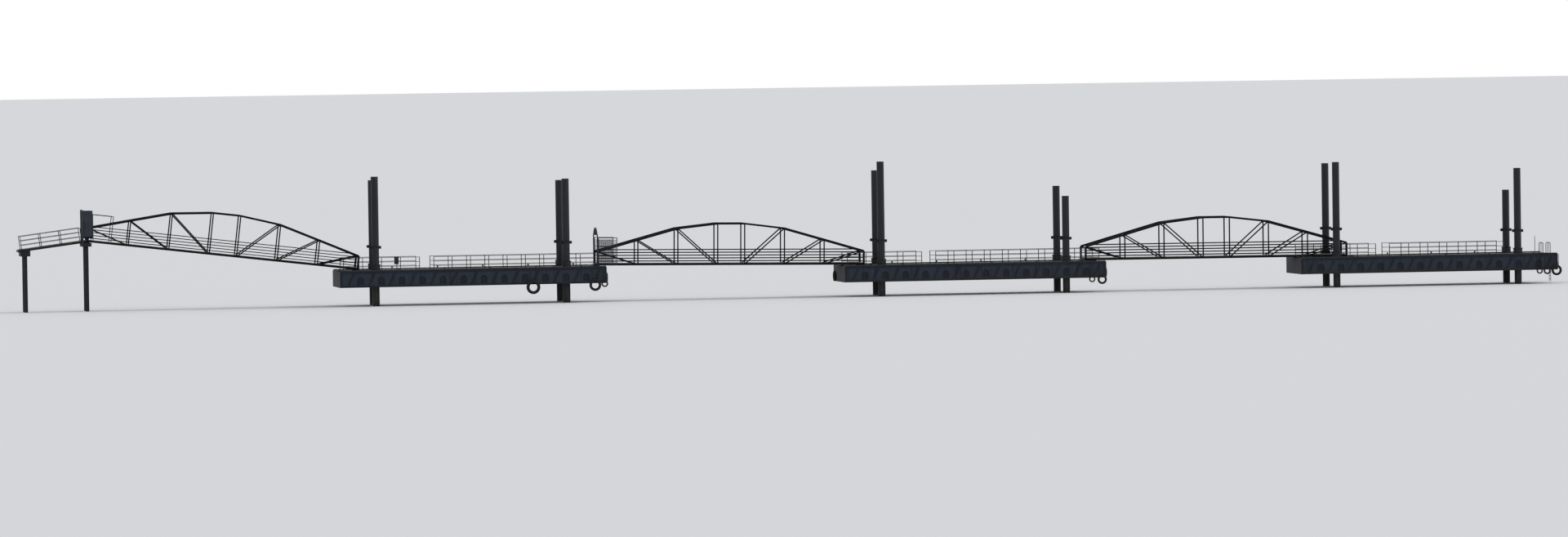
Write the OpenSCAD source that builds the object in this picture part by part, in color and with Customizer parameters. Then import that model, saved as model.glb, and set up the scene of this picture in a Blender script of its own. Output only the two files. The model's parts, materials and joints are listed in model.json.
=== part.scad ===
// Steel jetty at 1:10: three pontoons raised on tubular piles, linked by three truss footbridges.
// X runs along the jetty from the shore, +Z is up, and the water is at Z = 0.

/* [Levels] */
// Height of each pontoon's deck above the water, from the shore outwards
deck_z = [295, 260, 254]; // [200:1:340]
// Height of the shore crosshead that carries the first bridge
shore_seat_z = 571; // [480:1:640]
// Drop of the approach deck from the gate to its landward end
approach_drop = 72; // [0:1:90]

/* [Bridges] */
// Length of a bridge over its chords
bridge_l = 2287; // [1900:1:2600]
// Distance between the two trusses of a bridge, centre to centre
truss_gap = 210; // [180:1:240]
// Length of the open panel in the middle of a truss
mid_panel = 230; // [160:1:300]
// Truss height at the end post and at the first, second and third upright
truss_h = [125, 222, 318, 358]; // [110:1:420]
// Side of the square chord tube
chord_w = 16; // [12:0.5:20]
// Side of the square web tube
web_w = 10; // [7:0.5:11]
// Number of guard rails along a truss
guard_count = 5; // [3:1:6]
// Height of the top guard rail over the underside of the chord
guard_h = 131; // [126:1:150]
// Distance between guard rails
guard_pitch = 24; // [18:1:26]
// Side of a guard rail
guard_w = 5; // [3:0.5:7]
// Thickness of the bridge deck
bridge_deck_t = 6; // [4:0.5:8]
// Height of a floor beam below the bridge deck
floor_beam_h = 8; // [5:0.5:9]
// Length of the sloping flap plate at a bridge's end on a pontoon
flap_l = 90; // [60:1:120]
// Thickness of a flap plate
flap_t = 3; // [2:0.5:4]

/* [Bearings] */
// Height of a bearing block
bearing_h = 8; // [6:0.5:14]
// Length of a bearing block along the bridge
bearing_l = 18; // [12:1:24]
// Width of a bearing block
bearing_w = 16; // [12:1:16]
// Length of the second and third bridge's shoreward end on its pontoon
seat_l = [58, 149]; // [30:1:200]
// Length of each bridge's outer end on the pontoon
landing_l = [175, 202, 447]; // [120:1:500]

/* [Pontoons] */
// Length of a pontoon
pontoon_l = 2250; // [2000:10:2500]
// Width of a pontoon
pontoon_w = 580; // [550:1:640]
// Depth of a pontoon hull
hull_h = 135; // [100:1:160]
// Width of the flat along each corner of the hull
hull_chamfer = 6; // [3:0.5:12]
// Height of the kerb along each side of the deck
kerb_h = 10; // [6:0.5:16]
// Width of the kerb
kerb_w = 12; // [8:0.5:18]
// Number of bays along a hull's side, one from frame to frame
bay_count = 13; // [9:1:15]
// Depth of the sunk panels along a hull's side
panel_sink = 3; // [2:0.5:5]
// Width of the slanting rib across each bay
rib_w = 18; // [10:1:24]
// Depth of the arched pocket at each frame
pocket_sink = 8; // [6:0.5:12]
// Radius of the pocket's arch
pocket_r = 28; // [18:1:32]
// Height of the flat band along a hull side's top edge
top_band = 18; // [10:1:24]
// Height of the flat band along a hull side's foot
foot_band = 14; // [8:1:24]

/* [Piles] */
// Radius of a pile
pile_r = 30.5; // [24:0.5:34]
// Distance from a pontoon's side to the middle of its piles
pile_edge = 90; // [82:1:98]
// Distance from the end of a pontoon to its piles
pile_inset = 330; // [260:1:400]
// Height of the top of each near pile above the water
near_tops = [1085, 1042, 1140, 822, 1070, 993]; // [700:1:1300]
// Height of the top of each far pile above the water
far_tops = [1050, 1025, 1061, 902, 1056, 801]; // [700:1:1300]
// Distance of each near pile past its place along the pontoon
near_shift = [-20, 0, 0, 0, 0, 0]; // [-30:1:30]
// Distance of each far pile past its place along the pontoon
far_shift = [0, 0, 22, 0, 0, 0]; // [-30:1:30]
// Height of the collars of each pile pair above the water
collar_z = [495, 508, 472, 464, 500, 458]; // [420:1:560]
// Height of a collar
collar_h = 10; // [6:0.5:16]
// Thickness of a collar's ring
collar_t = 5; // [3:0.5:8]
// Reach of a lug beyond its collar
lug_l = 18; // [12:0.5:24]
// Height of a lug
lug_h = 24; // [16:0.5:30]
// Thickness of a lug
lug_t = 12; // [8:0.5:16]
// Height of a pile guide on the deck
guide_h = 55; // [40:1:70]
// Thickness of a guide's wall
guide_t = 8; // [5:0.5:10]
// Width of the flange round a guide's foot
guide_flange = 8; // [4:0.5:9]
// Play between a pile and the hull round it
hull_play = 4; // [2:0.5:5]

/* [Railings] */
// Height of a railing over its deck
railing_h = 112; // [95:1:120]
// Distance from a pontoon's side to the middle of its railing
railing_edge = 152.5; // [147:0.5:162]
// Longest distance between railing posts
post_pitch = 172; // [140:1:200]
// Side of a railing post
post_w = 5.5; // [4:0.5:7]
// Radius of a railing's rails
rail_r = 2.3; // [1.5:0.1:2.6]
// Number of rails in a railing
rail_count = 3; // [2:1:4]
// Distance from a pontoon's shoreward end to its railings
railing_start = 45; // [20:1:80]
// Distance from each railing's outer end to the pontoon's outer end
railing_end = [45, 30, 430]; // [20:1:460]
// Distance from a pontoon's first piles to the gap in its railings
boarding_x = 360; // [300:1:500]
// Width of the gap in the railings
boarding_w = 115; // [80:1:160]

/* [Approach] */
// Length of the approach deck
approach_l = 570; // [500:5:800]
// Distance of the approach's railings from its landward end
approach_rail_start = 28; // [20:1:80]
// Distance of the approach's railings from the first bridge
approach_rail_end = 38; // [36:1:80]
// Width of the approach deck
approach_w = 210; // [180:1:240]
// Depth of the approach deck with its side beams
approach_t = 18; // [14:0.5:24]
// Radius of a pile under the approach
bent_pile_r = 16; // [12:0.5:20]
// Length of a crosshead along the jetty
crosshead_l = 80; // [70:1:100]
// Height of a crosshead
crosshead_h = 30; // [20:1:40]

/* [Gates] */
// Height of the shore gate's portal over the bridge seat
portal_h = 276; // [250:1:300]
// Side of a portal post
portal_w = 9; // [7:0.5:11]
// Distance from the shore gate's portal to the first bridge, from the middle of its posts
portal_back = 29; // [27:0.5:32]
// Length of the clad wing beside the shore gate
wing_l = 72; // [50:1:76]
// Height of the clad wing
wing_h = 214; // [180:1:230]
// Width of the shore gate's leaf
leaf_w = 78; // [70:1:80]
// Thickness of the leaf
leaf_t = 5; // [4:0.5:6]
// Overlap of the closed leaf on the doorway's posts, both sides together
leaf_lap = 6; // [4:1:8]
// Room between the closed leaf and the portal
leaf_room = 5; // [5:0.5:8]
// Room under the leaf
leaf_lift = 13; // [12:1:16]
// Radius of a hinge pin
pin_r = 1.5; // [1.2:0.1:2]
// Height of the arched gate's posts over the pontoon deck
arch_post_h = 262; // [230:1:290]
// Rise of the arch over its posts
arch_rise = 66; // [50:1:80]
// Length of the open and of the barred side screens along their bridges
screen_l = [152, 160]; // [130:1:190]
// Height of the side screens over the bridge's underside
screen_h = 236; // [200:1:250]
// Side of the tubes round a side screen
screen_w = 6; // [4:0.5:7]
// Side of a bar in the barred screens
bar_w = 2; // [1.5:0.5:3]
// Distance between the bars
bar_pitch = 12; // [9:0.5:16]

/* [Fenders and fittings] */
// Outer radius of a tyre fender
tyre_r = 58; // [45:1:65]
// Inner radius of a tyre fender
tyre_hole_r = 33; // [26:1:38]
// Thickness of a tyre fender
tyre_w = 22; // [16:1:28]
// Size of the tyres across a pontoon's ends, as a share of the largest tyre
end_tyre = 0.75; // [0.6:0.05:0.9]
// Radius of a bollard
bollard_r = 6; // [4:0.5:8]
// Height of a bollard
bollard_h = 24; // [16:1:32]
// Number of bollards along each side of a pontoon
bollard_count = 5; // [2:1:6]
// Width of the lifebuoy box on the railing
box_w = 36; // [30:1:44]
// Height of the lifebuoy box
box_h = 60; // [44:1:70]
// Depth of the lifebuoy box
box_d = 14; // [10:1:20]
// Width of the boarding ladder between its stiles
ladder_w = 46; // [36:1:56]
// Distance between the ladder's rungs
rung_pitch = 30; // [24:1:36]
// Height of the ladder's hoops over the deck
hoop_h = 92; // [80:1:110]

/* [Hidden] */

near = -1;
far = 1;
seat_gap = 0.2;
round_fn = 48;
last = 7;
flap_root = 6;
bearing_inset = 4;

bridge_zl = [shore_seat_z + bearing_h, deck_z[0] + bearing_h, deck_z[1] + bearing_h];
bridge_slope = [for (i = [0:2]) asin((bridge_zl[i] - deck_z[i] - bearing_h) / bridge_l)];
bridge_run = [for (i = [0:2]) bridge_l * cos(bridge_slope[i])];

// Tyres along each side: distance of the middle from the outer end, size as a share of the largest tyre,
// and depth of the middle below the deck on the near side; the far ones hang at the middle of the hull
side_tyres = [[[625, 1, 158], [101, 0.86, 150], [20, 0.5, 140]],
              [[126, 0.47, 146], [40, 0.69, 150]],
              [[164, 0.47, 142], [98, 0.55, 142], [16, 0.78, 140]]];
shore_end_tyres = [1];
outer_reach = max(concat([seat_gap + tyre_w * end_tyre], [for (t = side_tyres[2]) t[1] * tyre_r - t[0]]));

total_l = approach_l + seat_gap + bridge_run[0] - landing_l[0] + pontoon_l - seat_l[0]
    + bridge_run[1] - landing_l[1] + pontoon_l - seat_l[1] + bridge_run[2] - landing_l[2]
    + pontoon_l + outer_reach;
approach_x = -total_l / 2;
shore_x = approach_x + approach_l;
bridge_1_x = shore_x + seat_gap;
pontoon_1_x = bridge_1_x + bridge_run[0] - landing_l[0];
bridge_2_x = pontoon_1_x + pontoon_l - seat_l[0];
pontoon_2_x = bridge_2_x + bridge_run[1] - landing_l[1];
bridge_3_x = pontoon_2_x + pontoon_l - seat_l[1];
pontoon_3_x = bridge_3_x + bridge_run[2] - landing_l[2];
bridge_x = [bridge_1_x, bridge_2_x, bridge_3_x];
pontoon_x = [pontoon_1_x, pontoon_2_x, pontoon_3_x];

pile_gap = pontoon_w - 2 * pile_edge;
railing_gap = pontoon_w - 2 * railing_edge;

panel_l = (bridge_l - chord_w - mid_panel) / 6;
function point_x(i) = chord_w / 2 + (i <= 3 ? i * panel_l : mid_panel + (i - 1) * panel_l);
function point_h(i) = truss_h[min(i, last - i)] - chord_w / 2;
top_line = [for (i = [0:last]) [point_x(i), point_h(i)]];

module place_bridge(i) {
    translate([bridge_x[i], 0, bridge_zl[i]]) rotate([0, bridge_slope[i], 0]) children();
}

module place_pontoon(i) {
    translate([pontoon_x[i], 0, deck_z[i]]) children();
}

// An upright sheet in the XZ plane, centred on Y = 0
module upright(t) {
    rotate([90, 0, 0]) linear_extrude(t, center = true) children();
}

// A bar of width w between two points of an outline
module bar(p, q, w) {
    d = q - p;
    translate(p) rotate(atan2(d[1], d[0])) translate([0, -w / 2]) square([norm(d), w]);
}

function unit(v) = v / norm(v);
function normal(v) = [-v[1], v[0]];
function side_of(line, i, d) =
    let (a = normal(unit(line[max(i, 1)] - line[max(i, 1) - 1])),
         b = normal(unit(line[min(i + 1, len(line) - 1)] - line[min(i, len(line) - 2)])))
    line[i] + d * (a + b) / (1 + a * b);

// A bent bar of width w along a line, mitred at its bends
module bent_bar(line, w) {
    n = len(line) - 1;
    polygon(concat([for (i = [0:n]) side_of(line, i, w / 2)],
                   [for (i = [n:-1:0]) side_of(line, i, -w / 2)]));
}

module truss_chords() {
    square([bridge_l, chord_w]);
    bent_bar(top_line, chord_w);
    for (i = [0, last]) {
        translate([point_x(i) - chord_w / 2, 0]) square([chord_w, point_h(i)]);
    }
}

module truss_webs() {
    foot = chord_w / 2;
    for (i = [1:last - 1]) {
        bar([point_x(i), foot], [point_x(i), point_h(i)], web_w);
    }
    for (i = [0:2]) {
        bar([point_x(i), point_h(i)], [point_x(i + 1), foot], web_w);
        bar([point_x(last - i), point_h(i)], [point_x(last - i - 1), foot], web_w);
    }
}

module truss_guards() {
    for (k = [0:guard_count - 1]) {
        h = guard_h - k * guard_pitch;
        rise = max(0, (h - point_h(0)) / (point_h(1) - point_h(0)));
        start = point_x(0) + rise * panel_l;
        translate([start, h - guard_w / 2]) square([bridge_l - 2 * start, guard_w]);
    }
}

module truss(i, side) {
    color("#3a4248") place_bridge(i) translate([0, side * truss_gap / 2, 0]) {
        union() {
            upright(chord_w) truss_chords();
            upright(web_w) truss_webs();
            translate([0, -side * web_w / 2, 0]) upright(guard_w) truss_guards();
        }
    }
}

// A thin flap plate in the XZ plane, from just below a bridge deck's edge down to a pontoon's deck
module flap(edge, deck, dir) {
    root = edge[0] - dir * flap_root;
    foot = edge[0] + dir * flap_l;
    polygon([[root, edge[1] - 1 - flap_t], [root, edge[1] - 1], [foot, deck + seat_gap + 1], [foot, deck + seat_gap]]);
}

module bridge_deck(i) {
    half = truss_gap / 2 - chord_w / 2 - seat_gap;
    s = sin(bridge_slope[i]);
    c = cos(bridge_slope[i]);
    inner_edge = [bridge_x[i] + chord_w * s, bridge_zl[i] + chord_w * c];
    outer_edge = inner_edge + [bridge_l * c, -bridge_l * s];
    color("#7d7468") union() {
        place_bridge(i) {
            translate([0, -half, chord_w - bridge_deck_t]) cube([bridge_l, 2 * half, bridge_deck_t]);
            for (k = [0:last]) {
                translate([point_x(k) - web_w / 2, -half, chord_w - bridge_deck_t - floor_beam_h])
                    cube([web_w, 2 * half, floor_beam_h + 1]);
            }
        }
        upright(2 * (half - flap_t)) flap(outer_edge, deck_z[i], 1);
        if (i > 0) {
            upright(2 * (half - flap_t)) flap(inner_edge, deck_z[i - 1], -1);
        }
    }
}

// One bearing block, cut to the underside of the bridge that rests on it
module bearing(i, x, z) {
    for (side = [near, far]) {
        difference() {
            translate([x, side * truss_gap / 2 - bearing_w / 2, z]) cube([bearing_l, bearing_w, 3 * bearing_h]);
            place_bridge(i) translate([-bridge_l, -truss_gap, 0]) cube([3 * bridge_l, 2 * truss_gap, 10 * bearing_h]);
        }
    }
}

module bridge_bearings() {
    color("#4a4c4e") {
        for (i = [0:2]) {
            carrier_z = i == 0 ? shore_seat_z : deck_z[i - 1];
            bearing(i, bridge_x[i] + bearing_inset, carrier_z);
            bearing(i, bridge_x[i] + bridge_run[i] - bearing_l - 2 * bearing_inset, deck_z[i]);
        }
    }
}

function pile_x(i, k, side) =
    (k == 0 ? pile_inset : pontoon_l - pile_inset) + (side == near ? near_shift : far_shift)[2 * i + k];

// The middles of a pontoon's four piles, from its shoreward end
function pile_places(i) = [for (k = [0, 1], side = [near, far]) [pile_x(i, k, side), side * pile_gap / 2]];

bay_l = pontoon_l / bay_count;
rib_foot = 0.35;
rib_head = 0.71;
side_margin = 20;

// The sunk panels of a hull's side, parted by a slanting rib in each bay
module side_panels() {
    low = foot_band - hull_h;
    difference() {
        translate([side_margin, low]) square([pontoon_l - 2 * side_margin, hull_h - foot_band - top_band]);
        for (k = [0:bay_count - 1]) {
            bar([(k + rib_foot) * bay_l, low - rib_w], [(k + rib_head) * bay_l, rib_w - top_band], rib_w);
        }
    }
}

// The arched pockets of a hull's side, one at each frame
module side_pockets() {
    low = foot_band + pocket_sink - hull_h;
    head = -hull_h / 2 - pocket_sink;
    for (k = [1:bay_count - 1]) {
        translate([k * bay_l - pocket_r, low]) square([2 * pocket_r, head - low]);
        translate([k * bay_l, head]) circle(r = pocket_r, $fn = round_fn);
    }
}

// A cut of depth d into both long sides of a hull
module side_cut(d) {
    for (side = [near, far]) {
        translate([0, side * (pontoon_w - d + 1) / 2, 0]) upright(d + 1) children();
    }
}

module hull(i) {
    c = hull_chamfer;
    w = pontoon_w / 2;
    color("#2c3945") place_pontoon(i) difference() {
        translate([0, 0, -hull_h]) linear_extrude(hull_h)
            polygon([[c, -w], [pontoon_l - c, -w], [pontoon_l, c - w], [pontoon_l, w - c],
                     [pontoon_l - c, w], [c, w], [0, w - c], [0, c - w]]);
        for (p = pile_places(i)) {
            translate([p[0], p[1], -hull_h - 1]) cylinder(r = pile_r + hull_play, h = hull_h + 2, $fn = round_fn);
        }
        side_cut(panel_sink) side_panels();
        side_cut(pocket_sink) side_pockets();
    }
}

module kerbs(i) {
    color("#5a5f63") place_pontoon(i) {
        for (side = [near, far]) {
            translate([hull_chamfer, side * (pontoon_w / 2 - kerb_w / 2 - 2) - kerb_w / 2, 0])
                cube([pontoon_l - 2 * hull_chamfer, kerb_w, kerb_h]);
        }
    }
}

module piles(i) {
    color("#3f464b") {
        for (k = [0, 1], side = [near, far]) {
            tops = side == near ? near_tops : far_tops;
            translate([pontoon_x[i] + pile_x(i, k, side), side * pile_gap / 2, 0])
                cylinder(r = pile_r, h = tops[2 * i + k], $fn = round_fn);
        }
    }
}

// One guide: a flanged ring with four fins
module pile_guide() {
    inner = pile_r + seat_gap;
    outer = inner + guide_t;
    foot_t = 4;
    lip = 4;
    union() {
        rotate_extrude($fn = round_fn)
            polygon([[inner, 0], [outer + guide_flange, 0], [outer + guide_flange, foot_t], [outer, foot_t],
                     [outer, guide_h - 2 * lip], [outer + lip, guide_h - lip], [outer + lip, guide_h],
                     [inner, guide_h]]);
        for (a = [45:90:315]) {
            rotate([0, 0, a]) translate([outer - 1, 0, foot_t - 1]) upright(3)
                polygon([[0, 0], [guide_flange, 0], [1, guide_h - 3 * lip - foot_t], [0, guide_h - 3 * lip - foot_t]]);
        }
    }
}

module pile_guides(i) {
    color("#6f777b") place_pontoon(i) {
        for (p = pile_places(i)) {
            translate([p[0], p[1], 0]) pile_guide();
        }
    }
}

module pile_collars(i) {
    inner = pile_r + seat_gap;
    color("#33383c") {
        for (k = [0, 1], side = [near, far]) {
            translate([pontoon_x[i] + pile_x(i, k, side), side * pile_gap / 2, collar_z[2 * i + k]]) difference() {
                union() {
                    cylinder(r = inner + collar_t, h = collar_h, $fn = round_fn);
                    translate([-inner - lug_l, -lug_t / 2, collar_h - lug_h]) cube([2 * inner + 2 * lug_l, lug_t, lug_h]);
                }
                translate([0, 0, -lug_h]) cylinder(r = inner, h = 3 * lug_h, $fn = round_fn);
            }
        }
    }
}

// A straight railing of length l that starts at x = 0 and stands on z = 0
module railing(l) {
    bays = ceil(l / post_pitch);
    pitch = (l - post_w) / bays;
    union() {
        for (k = [0:bays]) {
            translate([k * pitch, -post_w / 2, 0]) cube([post_w, post_w, railing_h - rail_r]);
        }
        for (k = [1:rail_count]) {
            translate([0, 0, k * railing_h / rail_count - rail_r]) rotate([0, 90, 0]) rotate([0, 0, 22.5])
                cylinder(r = rail_r, h = l, $fn = 8);
        }
    }
}

module pontoon_railing(i, side) {
    gap_x = pile_inset + boarding_x;
    color("#4c5358") place_pontoon(i) translate([0, side * railing_gap / 2, 0]) {
        translate([railing_start, 0, 0]) railing(gap_x - railing_start);
        translate([gap_x + boarding_w, 0, 0]) railing(pontoon_l - railing_end[i] - gap_x - boarding_w);
    }
}

module tyre() {
    b = tyre_w / 2;
    f = 5;
    rotate_extrude($fn = round_fn)
        polygon([[tyre_hole_r, -b + f], [tyre_hole_r + f, -b], [tyre_r - f, -b], [tyre_r, -b + f],
                 [tyre_r, b - f], [tyre_r - f, b], [tyre_hole_r + f, b], [tyre_hole_r, b - f]]);
}

// A tyre of size k on a pontoon's end, dir = 1 on the outer one
module end_fender(k, dir) {
    reach = seat_gap + k * tyre_w / 2;
    x = dir > 0 ? pontoon_l + reach : -reach;
    translate([x, -dir * pontoon_w / 3, k * tyre_r - hull_h]) rotate([0, 90, 0]) scale(k) tyre();
}

module fenders(i) {
    color("#1d1f21") place_pontoon(i) {
        for (t = side_tyres[i]) {
            out = pontoon_w / 2 + seat_gap + t[1] * tyre_w / 2;
            translate([pontoon_l - t[0], near * out, -t[2]]) rotate([90, 0, 0]) scale(t[1]) tyre();
            translate([pontoon_l - t[0], far * out, -hull_h / 2]) rotate([90, 0, 0]) scale(t[1]) tyre();
        }
        end_fender(end_tyre, 1);
        for (k = shore_end_tyres) {
            if (k == i) end_fender(end_tyre, -1);
        }
    }
}

module bollards(i) {
    first = pile_inset + 170;
    pitch = (pontoon_l - 2 * pile_inset - 50) / (bollard_count - 1);
    base = 28;
    base_t = 3;
    head_t = 5;
    head_r = bollard_r + 3;
    color("#2b2e30") place_pontoon(i) {
        for (k = [0:bollard_count - 1], side = [near, far]) {
            translate([first + k * pitch, side * (pontoon_w / 2 - kerb_w - base / 2 - 8), 0]) {
                translate([-base / 2, -base / 2, 0]) cube([base, base, base_t]);
                cylinder(r = bollard_r, h = bollard_h, $fn = round_fn);
                translate([0, 0, bollard_h - head_t]) cylinder(r = head_r, h = head_t, $fn = round_fn);
            }
        }
    }
}

approach_slope = atan(approach_drop / approach_l);
approach_seat = 4;
approach_top = shore_seat_z + approach_t + approach_seat;
pile_setback = 22;
bent_inset = 20;
bents = [[approach_x + crosshead_l / 2 + bent_inset, approach_drop], [shore_x, 0]];

module place_approach() {
    translate([shore_x, 0, approach_top]) rotate([0, -approach_slope, 0]) children();
}

module approach_deck() {
    depth = approach_t / cos(approach_slope);
    color("#7d7468") upright(approach_w)
        polygon([[approach_x, approach_top - approach_drop], [shore_x, approach_top],
                 [shore_x, approach_top - depth], [approach_x, approach_top - approach_drop - depth]]);
}

module approach_railing(side) {
    l = approach_l / cos(approach_slope) - approach_rail_start - approach_rail_end;
    color("#4c5358") place_approach()
        translate([-l - approach_rail_end, side * (approach_w / 2 - post_w), 0]) railing(l);
}

module shore_piles() {
    color("#4b4f50") {
        for (b = bents, side = [near, far]) {
            translate([b[0], side * (approach_w / 2 - pile_setback), 0])
                cylinder(r = bent_pile_r, h = shore_seat_z - crosshead_h - b[1], $fn = round_fn);
        }
    }
}

module shore_crossheads() {
    half = portal_y + portal_w;
    color("#55595a") {
        for (b = bents) {
            difference() {
                translate([b[0] - crosshead_l / 2, -half, shore_seat_z - crosshead_h - b[1]])
                    cube([crosshead_l, 2 * half, crosshead_h + b[1]]);
                place_approach() translate([-2 * approach_l, -approach_w, -approach_t])
                    cube([2 * approach_l, 2 * approach_w, 10 * approach_t]);
            }
        }
    }
}

outer_y = truss_gap / 2 + chord_w / 2 + seat_gap;
portal_y = outer_y + portal_w / 2;
portal_x = shore_x - portal_back;
doorway_w = leaf_w - leaf_lap;
door_post_y = doorway_w / 2 + portal_w / 2;
portal_top = shore_seat_z + portal_h;
knuckle_r = 3.5;
knuckle_h = 10;
hinge_x = portal_x + portal_w / 2 + leaf_room + leaf_t / 2;
hinge_y = door_post_y;
leaf_z = approach_top + leaf_lift;
leaf_h = portal_top - portal_w - leaf_z;
hinge_zs = [leaf_z + leaf_h * 0.15, leaf_z + leaf_h * 0.8];
bracket_t = 3;
pin_play = 0.1;

// One side of the portal: an outer post, a door post and the clad screen between them
module portal_side(side) {
    low = portal_x - portal_w / 2;
    sheet_t = 3;
    difference() {
        union() {
            for (y = [portal_y, door_post_y]) {
                translate([low, side * y - portal_w / 2, shore_seat_z])
                    cube([portal_w, portal_w, portal_h - portal_w - seat_gap]);
            }
            translate([portal_x - sheet_t / 2, side > 0 ? door_post_y : -portal_y, approach_top + leaf_lift])
                cube([sheet_t, portal_y - door_post_y, leaf_h - seat_gap]);
        }
        place_approach() translate([-approach_l / 2, -approach_w / 2 - seat_gap, -2 * approach_t])
            cube([approach_l, approach_w + 2 * seat_gap, 2 * approach_t]);
    }
    if (side == far) {
        for (z = hinge_zs) {
            translate([low + portal_w - 1, hinge_y - knuckle_r, z - bracket_t])
                cube([hinge_x - low - portal_w + 1, 2 * knuckle_r, bracket_t]);
            translate([hinge_x, hinge_y, z - bracket_t]) cylinder(r = knuckle_r, h = bracket_t, $fn = round_fn);
            translate([hinge_x, hinge_y, z - 1]) cylinder(r = pin_r, h = knuckle_h + 1, $fn = round_fn);
        }
    }
}

module shore_gate_portal() {
    color("#59656a") {
        portal_side(near);
        portal_side(far);
        translate([portal_x - portal_w / 2, -portal_y - portal_w / 2, portal_top - portal_w])
            cube([portal_w, 2 * portal_y + portal_w, portal_w]);
    }
}

// The leaf stands open, along the first bridge
module shore_gate_leaf() {
    edge = knuckle_r + 0.5;
    sheet_t = 2;
    strap_t = 3;
    color("#475259") translate([hinge_x, hinge_y, 0]) difference() {
        union() {
            translate([edge, -sheet_t / 2, leaf_z]) cube([leaf_w, sheet_t, leaf_h]);
            for (x = [edge, edge + leaf_w - leaf_t]) {
                translate([x, -leaf_t / 2, leaf_z]) cube([leaf_t, leaf_t, leaf_h]);
            }
            for (z = [leaf_z, leaf_z + leaf_h * 0.45, leaf_z + leaf_h - leaf_t]) {
                translate([edge, -leaf_t / 2, z]) cube([leaf_w, leaf_t, leaf_t]);
            }
            for (z = hinge_zs) {
                translate([0, -strap_t / 2, z + seat_gap]) cube([edge + 1, strap_t, knuckle_h - 1]);
                translate([0, 0, z + seat_gap]) cylinder(r = knuckle_r, h = knuckle_h - 1, $fn = round_fn);
            }
        }
        for (z = hinge_zs) {
            translate([0, 0, z - 1]) cylinder(r = pin_r + pin_play, h = knuckle_h + 4, $fn = round_fn);
        }
    }
}

function loop_side(line, i, d) =
    let (n = len(line),
         a = normal(unit(line[i] - line[(i + n - 1) % n])),
         b = normal(unit(line[(i + 1) % n] - line[i])))
    line[i] + d * (a + b) / (1 + a * b);

// A screen beside a bridge's end, its shoreward edge plumb with the gate that it joins
module side_screens(i, start, barred) {
    lean = screen_h * tan(bridge_slope[i]);
    l = screen_l[i];
    sheet_t = 3;
    line = [[start, 0], [start + l, 0], [start + l, screen_h], [start - lean, screen_h]];
    color("#59656a") place_bridge(i) {
        for (side = [near, far]) {
            translate([0, side * (outer_y + screen_w / 2), 0]) union() {
                upright(screen_w) difference() {
                    polygon(line);
                    polygon([for (k = [0:3]) loop_side(line, k, screen_w)]);
                }
                if (barred) upright(sheet_t) {
                    for (z = [screen_h / 3, 2 * screen_h / 3, screen_h - 4 * screen_w]) {
                        translate([start - lean * z / screen_h + 1, z]) square([l + lean * z / screen_h - 2, sheet_t]);
                    }
                    for (x = [start + bar_pitch:bar_pitch:start + l - screen_w - bar_w]) {
                        translate([x, 1]) square([bar_w, screen_h - 4 * screen_w]);
                    }
                }
            }
        }
    }
}

// The clad wings beside the shore gate, from its posts to the open screens
module clad_wings() {
    sheet_t = 3;
    foot = portal_top - portal_w - wing_h;
    color("#475259") {
        for (side = [near, far]) {
            translate([portal_x + portal_w / 2 + seat_gap, side * (outer_y + screen_w / 2), foot]) union() {
                upright(sheet_t) square([wing_l, wing_h]);
                upright(screen_w) difference() {
                    square([wing_l, wing_h]);
                    translate([screen_w, screen_w]) square([wing_l - 2 * screen_w, wing_h - 2 * screen_w]);
                }
            }
        }
    }
}

arch_x = portal_w / 2 + 1;
arch_half = portal_y;
arch_bars = 4;
arch_r = (arch_half * arch_half + arch_rise * arch_rise) / (2 * arch_rise);

module arch_outline() {
    intersection() {
        translate([0, arch_rise - arch_r]) difference() {
            circle(r = arch_r, $fn = 96);
            circle(r = arch_r - portal_w, $fn = 96);
        }
        translate([-arch_half - portal_w, 0]) square([2 * arch_half + 2 * portal_w, arch_rise]);
    }
    intersection() {
        translate([0, arch_rise - arch_r]) circle(r = arch_r - 1, $fn = 96);
        for (k = [-arch_bars:arch_bars]) {
            translate([k * arch_half / (arch_bars + 1) - bar_w / 2, 1]) square([bar_w, arch_rise]);
        }
    }
    translate([-arch_half - portal_w / 2, 0]) square([2 * arch_half + portal_w, portal_w]);
}

module arched_gate() {
    color("#59656a") translate([bridge_2_x + arch_x, 0, deck_z[0]]) {
        for (side = [near, far]) {
            translate([-portal_w / 2, side * portal_y - portal_w / 2, 0]) cube([portal_w, portal_w, arch_post_h]);
        }
        translate([0, 0, arch_post_h + seat_gap]) rotate([90, 0, 90])
            linear_extrude(portal_w - 2, center = true) arch_outline();
    }
}

hoop_r = 2.5;

// A hooped handrail in the XZ plane: down to z = low at x = 0, and to z = 0 at x = -reach
module hoop(reach, low) {
    translate([0, 0, low]) cylinder(r = hoop_r, h = hoop_h - reach / 2 - low, $fn = 24);
    translate([-reach, 0, 0]) cylinder(r = hoop_r, h = hoop_h - reach / 2, $fn = 24);
    translate([-reach / 2, 0, hoop_h - reach / 2]) rotate([90, 0, 0])
        rotate_extrude(angle = 180, $fn = round_fn) translate([reach / 2, 0]) circle(r = hoop_r, $fn = 24);
}

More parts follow.
